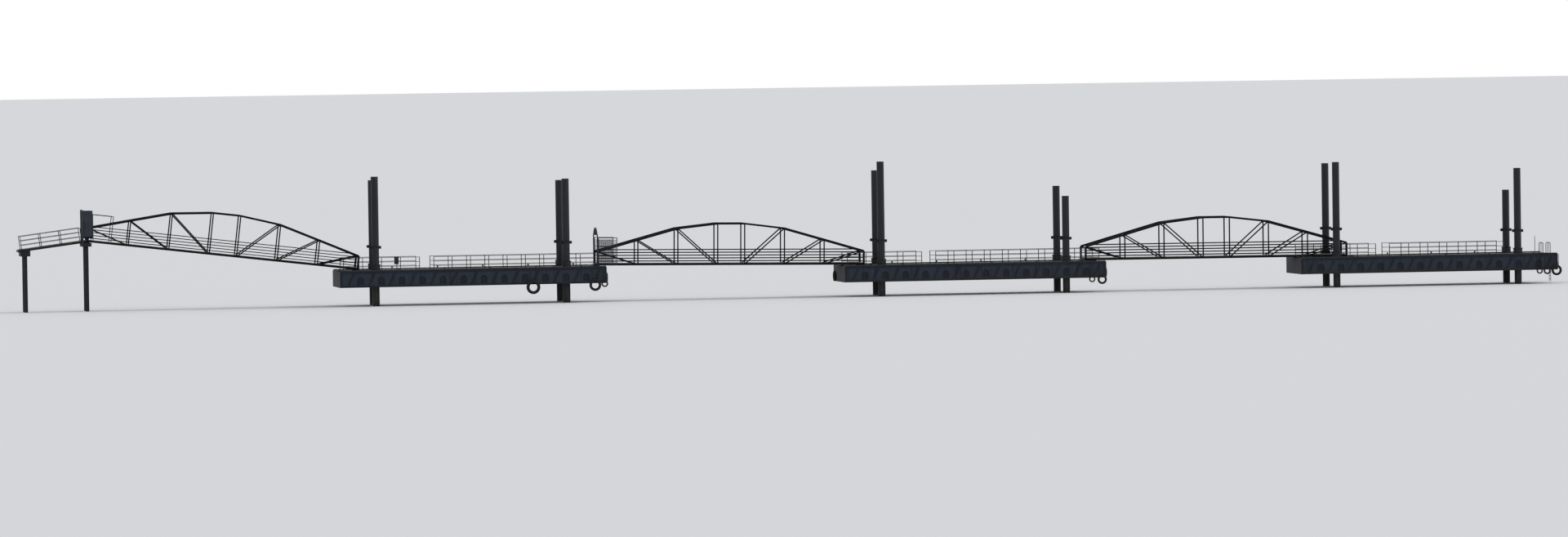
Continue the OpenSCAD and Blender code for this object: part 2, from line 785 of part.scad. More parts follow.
module boarding_ladder() {
    reach = 28;
    foot_clear = 14;
    first_rung = -12;
    rung_r = 1.8;
    inner_hoop = 60;
    low = foot_clear - deck_z[2];
    color("#8a9094") place_pontoon(2) {
        translate([pontoon_l + hoop_r + seat_gap, 0, 0]) union() {
            for (side = [near, far]) {
                translate([0, side * ladder_w / 2, 0]) hoop(reach, low);
            }
            for (z = [first_rung:-rung_pitch:low + 2 * rung_r]) {
                translate([0, -ladder_w / 2, z]) rotate([-90, 0, 0]) cylinder(r = rung_r, h = ladder_w, $fn = 24);
            }
        }
        translate([pontoon_l - inner_hoop, 0, 0]) {
            for (side = [near, far]) {
                translate([0, side * ladder_w / 2, 0]) hoop(reach, 0);
            }
        }
    }
}

module marker_pole() {
    pole_h = 150;
    pole_r = 2.5;
    base_r = 9;
    base_t = 3;
    color("#6f777b") place_pontoon(2) translate([pontoon_l - 110, 70, 0]) union() {
        cylinder(r = base_r, h = base_t, $fn = 24);
        cylinder(r = pole_r, h = pole_h, $fn = 24);
    }
}

// A box with a sloping lid, hung on the near railing of the first pontoon
module lifebuoy_box() {
    lid_rise = 6;
    lid_lap = 2;
    back = -(railing_gap / 2 + rail_r + seat_gap);
    x = (pile_inset + pile_inset + boarding_x) / 2 - box_w;
    color("#3c4044") place_pontoon(0) translate([x, back, railing_h - box_h]) union() {
        translate([0, -box_d, 0]) cube([box_w, box_d, box_h]);
        translate([-lid_lap, 0, box_h]) rotate([90, 0, 90]) linear_extrude(box_w + 2 * lid_lap)
            polygon([[0, 0], [0, lid_rise], [-box_d - lid_lap, 2], [-box_d - lid_lap, 0]]);
    }
}

shore_piles();
shore_crossheads();
approach_deck();
approach_railing(near);  // approach_railing_near
approach_railing(far);  // approach_railing_far
shore_gate_portal();
shore_gate_leaf();
union() {  // shore_gate_screens
    clad_wings();
    side_screens(0, portal_w / 2 - portal_back + wing_l + 4, false);
}
arched_gate();
side_screens(1, arch_x + portal_w / 2 + 1, true);  // arched_gate_screens
boarding_ladder();
marker_pole();
lifebuoy_box();
bridge_bearings();
for (i = [0:2]) {
    b = str("bridge_", i + 1, "_");
    p = str("pontoon_", i + 1, "_");
    bridge_deck(i);
    truss(i, near);
    truss(i, far);
    hull(i);
    kerbs(i);
    piles(i);
    pile_guides(i);
    pile_collars(i);
    pontoon_railing(i, near);
    pontoon_railing(i, far);
    fenders(i);
    bollards(i);
}
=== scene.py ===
import json
import math
import random

import bmesh
import bpy
from mathutils import Matrix, Vector


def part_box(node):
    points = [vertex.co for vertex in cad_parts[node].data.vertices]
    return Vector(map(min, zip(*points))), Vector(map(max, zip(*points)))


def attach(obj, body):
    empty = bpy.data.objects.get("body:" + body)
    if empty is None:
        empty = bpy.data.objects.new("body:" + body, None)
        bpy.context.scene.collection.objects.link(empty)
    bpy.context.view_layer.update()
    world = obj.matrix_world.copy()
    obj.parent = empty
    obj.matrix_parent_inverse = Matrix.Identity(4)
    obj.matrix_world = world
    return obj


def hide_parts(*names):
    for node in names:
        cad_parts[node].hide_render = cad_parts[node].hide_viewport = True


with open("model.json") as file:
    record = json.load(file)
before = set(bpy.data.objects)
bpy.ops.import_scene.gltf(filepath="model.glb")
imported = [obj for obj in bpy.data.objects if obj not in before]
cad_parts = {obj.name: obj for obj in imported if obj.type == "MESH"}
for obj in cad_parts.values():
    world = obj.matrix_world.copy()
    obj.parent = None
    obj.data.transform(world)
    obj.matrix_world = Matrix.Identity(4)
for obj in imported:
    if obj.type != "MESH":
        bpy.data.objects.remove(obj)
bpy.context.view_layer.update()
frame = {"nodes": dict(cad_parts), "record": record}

chance = random.Random(11)
NEAR, FAR = -1, 1
BOTH = (NEAR, FAR)


# Finishes. Colours are as they are read off a picture, 0 to 255; lengths are metres of the model.

def paint(red, green, blue):
    """A colour of a picture as the light that a shader takes."""
    def open_up(v):
        v /= 255
        return v / 12.92 if v <= 0.04045 else ((v + 0.055) / 1.055) ** 2.4
    return (open_up(red), open_up(green), open_up(blue), 1)


def shade(colour, share):
    """A lighter or darker paint of the same colour."""
    return paint(*[c * share for c in colour])


class Amount:
    """A number that varies over a surface. Sums on it become Math nodes."""

    def __init__(self, finish, socket):
        self.finish = finish
        self.socket = socket

    def sum(self, how, first, second):
        return self.finish.add("ShaderNodeMath", {"operation": how}, {0: first, 1: second}).out()

    def __add__(self, other):
        return self.sum("ADD", self, other)

    def __radd__(self, other):
        return self.sum("ADD", other, self)

    def __sub__(self, other):
        return self.sum("SUBTRACT", self, other)

    def __rsub__(self, other):
        return self.sum("SUBTRACT", other, self)

    def __mul__(self, other):
        return self.sum("MULTIPLY", self, other)

    def __rmul__(self, other):
        return self.sum("MULTIPLY", other, self)

    def __truediv__(self, other):
        return self.sum("DIVIDE", self, other)

    def floor(self):
        return self.sum("FLOOR", self, 0)

    def part(self):
        return self.sum("FRACT", self, 0)

    def size(self):
        return self.sum("ABSOLUTE", self, 0)

    def rise(self, low, high):
        """0 below low, 1 above high, and smooth between."""
        settings = {"interpolation_type": "SMOOTHSTEP", "clamp": True}
        sockets = {"Value": self, "From Min": low, "From Max": high}
        return self.finish.add("ShaderNodeMapRange", settings, sockets).out()


class Step:
    """A node that has been added, for reading its outputs."""

    def __init__(self, finish, node):
        self.finish = finish
        self.node = node

    def out(self, which=0):
        return Amount(self.finish, self.node.outputs[which])


class Finish:
    """One painted, wooden or rubber surface, made of shader nodes."""

    def __init__(self, name, rough=0.6, metal=0.0, shine=0.5):
        self.material = bpy.data.materials.new(name)
        self.material.use_nodes = True
        self.tree = self.material.node_tree
        self.surface = self.tree.nodes["Principled BSDF"]
        self.surface.inputs["Roughness"].default_value = rough
        self.surface.inputs["Metallic"].default_value = metal
        self.surface.inputs["Specular IOR Level"].default_value = shine
        self.spot = self.add("ShaderNodeTexCoord").out("Object")
        split = self.add("ShaderNodeSeparateXYZ", {}, {0: self.spot})
        self.y, self.z = split.out(1), split.out(2)

    def add(self, kind, settings=None, sockets=None):
        """Adds a node of any kind, sets it, and gives its sockets values or links."""
        node = self.tree.nodes.new(kind)
        for key, value in (settings or {}).items():
            setattr(node, key, value)
        for key, value in (sockets or {}).items():
            if isinstance(value, Amount):
                self.tree.links.new(value.socket, node.inputs[key])
            else:
                node.inputs[key].default_value = value
        return Step(self, node)

    def upward(self):
        """1 on faces that look up, 0 on plumb ones, less below."""
        facing = self.add("ShaderNodeNewGeometry").out("Normal")
        return self.add("ShaderNodeSeparateXYZ", {}, {0: facing}).out(2)

    def cloud(self, scale, stretch=(1, 1, 1), detail=3.0, rough=0.55, spot=None):
        """Soft noise. A stretch below 1 draws it out along that axis."""
        place = self.add("ShaderNodeMapping", {}, {"Vector": spot or self.spot, "Scale": stretch})
        sockets = {"Vector": place.out(), "Scale": scale, "Detail": detail, "Roughness": rough}
        return self.add("ShaderNodeTexNoise", {}, sockets).out(0)

    def cells(self, scale):
        """Distance from the middles of small scattered cells."""
        sockets = {"Vector": self.spot, "Scale": scale}
        return self.add("ShaderNodeTexVoronoi", {"feature": "F1"}, sockets).out("Distance")

    def draw(self, number):
        """A number from 0 to 1 drawn once for each whole number."""
        settings = {"noise_dimensions": "1D"}
        return self.add("ShaderNodeTexWhiteNoise", settings, {"W": number}).out(0)

    def mix(self, share, first, second):
        """The second colour over the first, by a share."""
        sockets = {0: share, 6: first, 7: second}
        return self.add("ShaderNodeMix", {"data_type": "RGBA"}, sockets).out(2)

    def wear(self, colour, rough, relief, depth):
        """Puts what varies on the shader, and gives the material."""
        self.tree.links.new(colour.socket, self.surface.inputs["Base Color"])
        self.tree.links.new(rough.socket, self.surface.inputs["Roughness"])
        sockets = {"Strength": 0.6, "Distance": depth, "Height": relief}
        bump = self.add("ShaderNodeBump", {}, sockets)
        self.tree.links.new(bump.out().socket, self.surface.inputs["Normal"])
        return self.material


def steel_paint(name, colour, dust, rust_share, rough=0.6, rust=(58, 42, 32), shine=0.2):
    """Weathered paint on steel: mottled, dusty on top, with runs and rust spots."""
    f = Finish(name, rough=rough, shine=shine)
    mottle = f.cloud(14, detail=4)
    fine = f.cloud(160, detail=2)
    runs = f.cloud(90, stretch=(1, 1, 0.06), detail=2)
    up = f.upward().rise(0.3, 0.95)
    base = f.mix((mottle - 0.5) * 1.8 + 0.5, shade(colour, 0.8), shade(colour, 1.2))
    base = f.mix(runs.rise(0.5, 0.74) * 0.5, base, shade(colour, 0.6))
    base = f.mix(up * (0.35 + 0.5 * mottle), base, paint(*dust))
    spots = f.cloud(75, detail=5, rough=0.65).rise(0.75 - 0.14 * rust_share, 0.83)
    base = f.mix(spots * 0.8, base, paint(*rust))
    return f.wear(base, rough - 0.08 + fine * 0.22 + spots * 0.2, fine * 0.5 + spots, 0.0004)


def hull_paint(name):
    """Ship's paint on plating: pale sunk panels and dark ribs, run and stained, with painted shade
    in the arched pockets and painted sky light on the deck, the ends and the foot.

    How far out a point lies, in Y, tells the flat side from its sunk panels and arched pockets, and
    these from the deck and the foot, which lie further in.
    """
    f = Finish(name, rough=0.6, shine=0.2)
    side = f.y.size()
    sunk = 1 - side.rise(0.2874, 0.2889)
    shaded_pocket = 1 - side.rise(0.2824, 0.2834)
    flank = side.rise(0.2805, 0.2812)
    mottle = f.cloud(6, detail=4)
    runs = f.cloud(55, stretch=(1, 1, 0.05), detail=3)
    fine = f.cloud(140, detail=3)
    blotch = f.cloud(22, stretch=(1, 1, 0.5), detail=5)
    pale = f.cloud(70, stretch=(1, 1, 0.045), detail=4)
    base = f.mix((mottle - 0.5) * 1.6 + 0.5, paint(18, 24, 32), paint(34, 41, 52))
    base = f.mix(flank * sunk * 0.75, base, paint(46, 54, 66))
    # Painted shade: the arched pockets are painted darker for the shade that falls into these
    # recesses.
    base = f.mix(flank * shaded_pocket * 0.8, base, paint(22, 27, 34))
    # Painted light: the deck, the ends and the foot, which lie further in than the flank, are
    # painted a lighter grey for the sky light falling on the ends and deck.
    base = f.mix((1 - flank) * 0.8, base, paint(48, 51, 53))
    base = f.mix(runs.rise(0.5, 0.72) * 0.6, base, paint(17, 20, 24))
    base = f.mix(pale.rise(0.56, 0.76) * 0.4, base, paint(56, 60, 63))
    base = f.mix(blotch.rise(0.58, 0.76) * 0.35, base, paint(52, 48, 43))
    low = 1 - f.z.rise(0.125, 0.175)
    base = f.mix(low * (0.3 + 0.5 * blotch), base, paint(44, 42, 37))
    spots = f.cloud(60, detail=5, rough=0.7).rise(0.64, 0.76)
    base = f.mix(spots * 0.7, base, paint(66, 46, 33))
    return f.wear(base, 0.54 + fine * 0.18 + runs * 0.12, fine * 0.4 + blotch, 0.0006)


def pile_steel(name):
    """Coated tube: weld seams round it, streaks down it, stained and wet at the waterline."""
    f = Finish(name, rough=0.5, shine=0.25)
    mottle = f.cloud(9, detail=5)
    runs = f.cloud(48, stretch=(1, 1, 0.04), detail=3)
    fine = f.cloud(150, detail=2)
    from_seam = ((f.z / 0.122).part() - 0.5).size()
    seam = 1 - from_seam.rise(0.0, 0.02)
    base = f.mix(mottle, paint(24, 29, 34), paint(34, 39, 44))
    base = f.mix(runs.rise(0.5, 0.75) * 0.6, base, paint(18, 21, 24))
    rusty = f.cloud(34, stretch=(1, 1, 0.3), detail=5, rough=0.65).rise(0.62, 0.78)
    base = f.mix(rusty * 0.6, base, paint(64, 48, 37))
    base = f.mix(seam * 0.5, base, paint(48, 46, 44))
    edge = f.z + (f.cloud(40, detail=3) - 0.5) * 0.05
    tide = 1 - edge.rise(0.10, 0.16)
    wet = 1 - edge.rise(0.035, 0.05)
    base = f.mix(tide * 0.6, base, paint(44, 43, 39))
    base = f.mix(wet * 0.85, base, paint(17, 19, 19))
    rough = 0.44 + fine * 0.2 + rusty * 0.2 - wet * 0.15
    return f.wear(base, rough, fine * 0.3 + seam + rusty * 0.4, 0.0008)


def deck_boards(name):
    """Grey weathered boards. The UV map gives a board's number and the place along it."""
    f = Finish(name, rough=0.82, shine=0.25)
    place = f.add("ShaderNodeUVMap", {"uv_map": "boards"}).out()
    split = f.add("ShaderNodeSeparateXYZ", {}, {0: place})
    count, along = split.out(0), split.out(1)
    tone = f.draw(count.floor())
    sockets = {0: count * 0.16, 1: along + tone * 7, 2: tone * 3}
    lane = f.add("ShaderNodeCombineXYZ", {}, sockets).out()
    grain = f.cloud(95, stretch=(6, 0.18, 1), detail=5, spot=lane)
    knots = f.cloud(26, stretch=(3, 0.6, 1), detail=2, spot=lane).rise(0.66, 0.78)
    base = f.mix(tone, paint(82, 79, 74), paint(122, 117, 108))
    base = f.mix(grain.rise(0.42, 0.68) * 0.55, base, paint(60, 57, 52))
    base = f.mix(knots * 0.5, base, paint(66, 56, 44))
    damp = f.cloud(5, detail=4).rise(0.5, 0.7)
    base = f.mix(damp * 0.35, base, paint(66, 68, 62))
    rim = ((count.part() - 0.5).size()).rise(0.40, 0.47)
    base = f.mix(rim * 0.4, base, paint(46, 44, 41))
    return f.wear(base, 0.74 + grain * 0.2, grain - rim * 0.6, 0.0006)


def zinc(name, colour):
    """Dull galvanized steel with faint spangles and dirt in its runs."""
    f = Finish(name, rough=0.45, metal=0.15, shine=0.25)
    spangle = f.cells(230)
    mottle = f.cloud(30, detail=3)
    base = f.mix(spangle, shade(colour, 0.9), shade(colour, 1.12))
    base = f.mix(mottle.rise(0.5, 0.75) * 0.4, base, shade(colour, 0.7))
    spots = f.cloud(110, detail=4, rough=0.7).rise(0.72, 0.8)
    base = f.mix(spots * 0.6, base, paint(60, 45, 35))
    return f.wear(base, 0.35 + mottle * 0.25 + spots * 0.2, spangle * 0.3 + spots, 0.0002)


def tyre_rubber(name):
    """Old rubber, dusty and scuffed."""
    f = Finish(name, rough=0.8, shine=0.3)
    scuff = f.cloud(70, detail=4).rise(0.5, 0.75)
    dust = f.cloud(12, detail=3)
    base = f.mix(dust, paint(15, 15, 16), paint(24, 24, 25))
    base = f.mix(scuff * 0.45, base, paint(46, 45, 44))
    return f.wear(base, 0.72 + scuff * 0.18, f.cloud(240, detail=2) + scuff * 0.6, 0.0005)


def cast_iron(name):
    """Pitted black iron, worn to a brown bloom."""
    f = Finish(name, rough=0.5, metal=0.2)
    pits = f.cloud(210, detail=4)
    worn = f.cloud(45, detail=4).rise(0.55, 0.72)
    base = f.mix(pits, paint(24, 26, 27), paint(36, 38, 39))
    base = f.mix(worn * 0.5, base, paint(78, 66, 56))
    return f.wear(base, 0.42 + pits * 0.25, pits, 0.0005)


FINISH = {
    "truss_steel": steel_paint("truss paint", (11, 13, 16), (34, 35, 36), 0.4, 0.62,
                               rust=(40, 29, 23), shine=0.12),
    "hull_paint": hull_paint("hull paint"),
    "pile_steel": pile_steel("pile coating"),
    "guide_steel": steel_paint("guide paint", (38, 43, 47), (58, 60, 61), 0.5),
    "collar_steel": steel_paint("collar paint", (20, 23, 26), (40, 42, 43), 0.6),
    "kerb_paint": steel_paint("kerb paint", (44, 48, 52), (66, 67, 67), 0.6),
    "gate_steel": steel_paint("gate paint", (49, 55, 63), (66, 70, 75), 0.35),
    "bearing_steel": steel_paint("bearing paint", (28, 30, 33), (50, 50, 49), 0.7),
    "bent_steel": steel_paint("bent paint", (30, 33, 36), (54, 54, 52), 0.5),
    "box_paint": steel_paint("box paint", (36, 39, 44), (58, 60, 61), 0.1, 0.5),
    "deck_boards": deck_boards("weathered boards"),
    "railing_steel": zinc("railing zinc", (34, 37, 41)),
    "ladder_steel": zinc("ladder zinc", (62, 66, 70)),
    "fender_rubber": tyre_rubber("tyre rubber"),
    "bollard_iron": cast_iron("bollard iron"),
}
SLOT_OF = {row["node"]: row["material_slot"] for row in frame["record"]["subparts"]}
# The slab under the boards is steel plate, so it takes the plate's paint.
PLATE = steel_paint("deck plate paint", (30, 32, 35), (52, 53, 53), 0.7)

for node_name, node in frame["nodes"].items():
    slot = SLOT_OF[node_name]
    node.data.materials.clear()
    node.data.materials.append(PLATE if slot == "deck_boards" else FINISH[slot])


# Making pieces

def nothing_selected():
    bpy.ops.object.select_all(action="DESELECT")


def fix_place():
    """The active object's place goes into its mesh."""
    bpy.ops.object.transform_apply(location=True, rotation=True, scale=True)


def use(o, kind, **settings):
    """Adds a modifier, sets it and applies it."""
    bpy.context.view_layer.objects.active = o
    modifier = o.modifiers.new(kind, kind)
    for key, value in settings.items():
        setattr(modifier, key, value)
    bpy.ops.object.modifier_apply(modifier=modifier.name)


def soften(o, width, angle):
    """Takes the edges off that turn by more than an angle."""
    limit = math.radians(angle)
    use(o, "BEVEL", width=width, segments=1, limit_method="ANGLE", angle_limit=limit)


def block(low, high, edge):
    """A block between two corners, with its edges taken off."""
    nothing_selected()
    low, high = Vector(low), Vector(high)
    bpy.ops.mesh.primitive_cube_add(size=1, location=(low + high) / 2)
    o = bpy.context.object
    o.scale = high - low
    fix_place()
    soften(o, edge, 40)
    return o


def rod(radius, low, high, sides=16, edge=0.0, axis="Z"):
    """A rod from low to high along an axis, at the origin across it."""
    nothing_selected()
    half = math.pi / 2
    turn = {"X": (0, half, 0), "Y": (-half, 0, 0), "Z": (0, 0, 0)}[axis]
    middle = Vector([(low + high) / 2 if axis == a else 0 for a in "XYZ"])
    bpy.ops.mesh.primitive_cylinder_add(vertices=sides, radius=radius, depth=high - low,
                                        location=middle, rotation=turn)
    o = bpy.context.object
    fix_place()
    if edge:
        soften(o, edge, 60)
    return o


def band(radius, thick, around, about):
    """A ring of round section about Z, with so many faces around it and about its section."""
    nothing_selected()
    bpy.ops.mesh.primitive_torus_add(major_segments=around, minor_segments=about,
                                     major_radius=radius, minor_radius=thick)
    return bpy.context.object


def joined(parts):
    """Several objects as one."""
    if len(parts) == 1:
        return parts[0]
    nothing_selected()
    for p in parts:
        p.select_set(True)
    bpy.context.view_layer.objects.active = parts[0]
    bpy.ops.object.join()
    return bpy.context.object


def placed(o, place):
    """A piece moved in its mesh, with its faces turned out again where the place mirrors it."""
    o.data.transform(place)
    if place.determinant() < 0:
        o.data.flip_normals()
    return o


def copy_of(pattern):
    """A copy with a mesh of its own."""
    o = pattern.copy()
    o.data = pattern.data.copy()
    bpy.context.scene.collection.objects.link(o)
    return o


def copies(pattern, places):
    """The pattern at each place, as one object."""
    made = [placed(copy_of(pattern), place) for place in places]
    bpy.data.objects.remove(pattern)
    return joined(made)


def row_of(pattern, count, step):
    """The pattern repeated along a step."""
    use(pattern, "ARRAY", count=count, use_relative_offset=False, use_constant_offset=True,
        constant_offset_displace=step)


def done(o, name, slot, body="jetty", round_over=0):
    """Names a piece, gives it its finish and lets it ride on its body."""
    nothing_selected()
    o.select_set(True)
    bpy.context.view_layer.objects.active = o
    fix_place()
    if round_over:
        bpy.ops.object.shade_smooth_by_angle(angle=math.radians(round_over))
    o.name = name
    o.data.name = name
    o.data.materials.clear()
    o.data.materials.append(FINISH[slot])
    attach(o, body)
    return o


def turned(angle, axis):
    return Matrix.Rotation(math.radians(angle), 4, axis)


def at(x, y, z):
    return Matrix.Translation((x, y, z))


def mirrored(way):
    """Turns what points towards -y to point the given way."""
    return Matrix.Scale(-way, 4, (0, 1, 0))


# Where things are

HULL = [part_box(f"pontoon_{i}_hull") for i in (1, 2, 3)]
START = [low.x for low, high in HULL]
END = [high.x for low, high in HULL]
DECK = [high.z for low, high in HULL]
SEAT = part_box("shore_gate_portal")[0].z
BRIDGE_L = 2.287
BEARING = 0.008
FOOT = [SEAT + BEARING, DECK[0] + BEARING, DECK[1] + BEARING]
SLOPE = [math.asin((FOOT[i] - DECK[i] - BEARING) / BRIDGE_L) for i in range(3)]
BRIDGE_X = [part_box(f"bridge_{i}_truss_near")[0].x for i in (1, 2, 3)]
HALF_W = HULL[0][1].y
PILE_Y = 0.2
# Each pile's place along its pontoon
PILE_X = {NEAR: [[0.31, 1.92], [0.33, 1.92], [0.33, 1.92]],
          FAR: [[0.33, 1.92], [0.352, 1.92], [0.33, 1.92]]}
# The tops of a side's piles, from the shore outwards
PILE_TOP = {NEAR: (1.085, 1.042, 1.140, 0.822, 1.070, 0.993),
            FAR: (1.050, 1.025, 1.061, 0.902, 1.056, 0.801)}
# The feet of the collars' rings, two pairs to a pontoon
COLLAR_Z = (0.495, 0.508, 0.472, 0.464, 0.500, 0.458)


def on_bridge(i):
    """From a bridge's own axes, with its shoreward foot at the origin, to the jetty's."""
    return at(BRIDGE_X[i], 0, FOOT[i]) @ Matrix.Rotation(SLOPE[i], 4, "Y")


approach_low, approach_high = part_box("approach_deck")
SHORE_X = approach_high.x
APPROACH_DROP, APPROACH_RUN = 0.072, 0.57
rise = math.atan(APPROACH_DROP / APPROACH_RUN)
APPROACH_L = (SHORE_X - approach_low.x) / math.cos(rise)
# From the approach deck's own axes, with its end at the first bridge at the origin
ON_APPROACH = at(SHORE_X, 0, approach_high.z) @ Matrix.Rotation(-rise, 4, "Y")


# Boards

PITCH, BOARD_W, BOARD_EDGE = 0.0145, 0.0134, 0.0006
BOARD_TOP = 0.0022
BRIDGE_BOARD = 0.003
BRIDGE_PLATE = 0.016
LOOSE, RAGGED = 0.0003, 0.0006
BRIDGE_END, DECK_END = 0.006, 0.01
WALK_Y, APPROACH_Y = 0.0955, 0.1005
MIDDLE_LANE, SIDE_LANE = 0.1495, (0.1525, 0.2745)
# Boards stop this far from the middle of a pile, where its guide lies
GUIDE_ROOM = 0.052


def board_row(length, low_y, high_y, thick, skips=()):
    """Boards across a deck that starts at x = 0 with its plate at z = 0.

    A skip is a stretch (from, to) with no boards. The UV map holds each board's number, with how
    far across the board a point is as its fraction, and the place along the board.
    """
    count = int(length / PITCH)
    first = (length - count * PITCH) / 2 + (PITCH - BOARD_W) / 2
    o = block((first, low_y, 0), (first + BOARD_W, high_y, thick), BOARD_EDGE)
    points, faces, corners = len(o.data.vertices), len(o.data.polygons), len(o.data.loops)
    row_of(o, count, (PITCH, 0, 0))
    mesh = o.data
    uv = mesh.uv_layers.new(name="boards")
    seed = chance.randint(0, 500)
    for k, loop in enumerate(mesh.loops):
        p = mesh.vertices[loop.vertex_index].co
        board = k // corners
        share = min(0.999, max(0.001, (p.x - first - board * PITCH) / BOARD_W))
        uv.data[k].uv = (seed + board + share, p.y)
    for name in [u.name for u in mesh.uv_layers if u.name != "boards"]:
        mesh.uv_layers.remove(mesh.uv_layers[name])
    dropped = []
    for board in range(count):
        left = first + board * PITCH
        if any(a < left + BOARD_W and left < b for a, b in skips):
            dropped.append(board)
        lift = chance.uniform(-LOOSE, 0.0)
        low_shift, high_shift = chance.uniform(-RAGGED, RAGGED), chance.uniform(-RAGGED, RAGGED)
        for v in mesh.vertices[board * points:(board + 1) * points]:
            if v.co.z > thick / 2:
                v.co.z += lift
            v.co.y += low_shift if v.co.y < (low_y + high_y) / 2 else high_shift
    if dropped:
        work = bmesh.new()
        work.from_mesh(mesh)
        work.faces.ensure_lookup_table()
        gone = [work.faces[k] for b in dropped for k in range(b * faces, (b + 1) * faces)]
        bmesh.ops.delete(work, geom=gone, context="FACES")
        work.to_mesh(mesh)
        work.free()
    return o


for i in range(3):
    row = board_row(BRIDGE_L - 2 * BRIDGE_END, -WALK_Y, WALK_Y, BRIDGE_BOARD)
    placed(row, on_bridge(i) @ at(BRIDGE_END, 0, BRIDGE_PLATE))
    done(row, f"bridge_{i + 1}_boards", "deck_boards")

for i in range(3):
    length = END[i] - START[i] - 2 * DECK_END
    lanes = [board_row(length, -MIDDLE_LANE, MIDDLE_LANE, BOARD_TOP)]
    for side in BOTH:
        low, high = sorted(side * y for y in SIDE_LANE)
        holes = [(x - DECK_END - GUIDE_ROOM, x - DECK_END + GUIDE_ROOM) for x in PILE_X[side][i]]
        lanes.append(board_row(length, low, high, BOARD_TOP, holes))
    row = placed(joined(lanes), at(START[i] + DECK_END, 0, DECK[i]))
    done(row, f"pontoon_{i + 1}_boards", "deck_boards")

row = board_row(APPROACH_L - 2 * DECK_END, -APPROACH_Y, APPROACH_Y, BOARD_TOP)
placed(row, ON_APPROACH @ at(DECK_END - APPROACH_L, 0, 0))
done(row, "approach_boards", "deck_boards")


# Tyres and their chains

TYRE_R, TYRE_HOLE, TYRE_W = 0.058, 0.033, 0.022
# Each pontoon's tyres on the near side: distance from the outer end, size, depth of the middle
SIDE_TYRES = [[(0.625, 1, 0.158), (0.101, 0.86, 0.150), (0.020, 0.5, 0.140)],
              [(0.126, 0.47, 0.146), (0.040, 0.69, 0.150)],
              [(0.164, 0.47, 0.142), (0.098, 0.55, 0.142), (0.016, 0.78, 0.140)]]
FAR_DEPTH = 0.0675
END_TYRE = 0.75
END_TYRE_FOOT = 0.135
TYRE_OFF, CHAIN_OFF = 0.0002, 0.0015
CHAIN_TOP, LINK_STEP = 0.004, 0.0052
LINK_R, LINK_WIRE, LINK_STRETCH = 0.0026, 0.0008, 1.35


def tyre():
    """A worn tyre about Z, hollow inside, with ribs on its walls and grooves in its tread."""
    nothing_selected()
    half = TYRE_W / 2
    outer = [(TYRE_HOLE, 0.55), (TYRE_HOLE + 0.0015, 0.8), (TYRE_HOLE + 0.005, 0.97),
             (TYRE_HOLE + 0.009, 1), (TYRE_HOLE + 0.0095, 0.93), (TYRE_HOLE + 0.0105, 1),
             (TYRE_R - 0.008, 0.97), (TYRE_R - 0.0055, 0.98), (TYRE_R - 0.0015, 0.78),
             (TYRE_R, 0.55), (TYRE_R, 0.42), (TYRE_R - 0.0018, 0.38), (TYRE_R - 0.0018, 0.28),
             (TYRE_R, 0.24), (TYRE_R, 0.06), (TYRE_R - 0.0018, 0)]
    inner = [(TYRE_HOLE, 0.35), (TYRE_HOLE + 0.006, 0.5), (TYRE_HOLE + 0.014, 0.62),
             (TYRE_R - 0.006, 0.5), (TYRE_R - 0.004, 0)]
    line = [(r, -half * z) for r, z in outer] + [(r, half * z) for r, z in reversed(outer[:-1])]
    line += [(r, half * z) for r, z in inner] + [(r, -half * z) for r, z in reversed(inner[:-1])]
    bpy.ops.mesh.primitive_circle_add(vertices=len(line), radius=1)
    o = bpy.context.object
    for v, (r, z) in zip(o.data.vertices, line):
        v.co = (r, 0, z)
    bpy.ops.object.mode_set(mode="EDIT")
    bpy.ops.mesh.select_all(action="SELECT")
    bpy.ops.mesh.spin(steps=48, angle=math.tau, center=(0, 0, 0), axis=(0, 0, 1))
    # Known fault: spin leaves no face selected, so the next two calls change nothing and the
    # tyre's faces point inwards. Selecting everything again before them turns the faces out.
    bpy.ops.mesh.remove_doubles(threshold=0.00005)
    bpy.ops.mesh.normals_make_consistent(inside=False)
    bpy.ops.object.mode_set(mode="OBJECT")
    return o


def chain_link():
    """An upright oval link."""
    o = band(LINK_R, LINK_WIRE, 12, 5)
    o.rotation_euler = (0, math.pi / 2, 0)
    fix_place()
    for v in o.data.vertices:
        v.co.z *= LINK_STRETCH
    return o


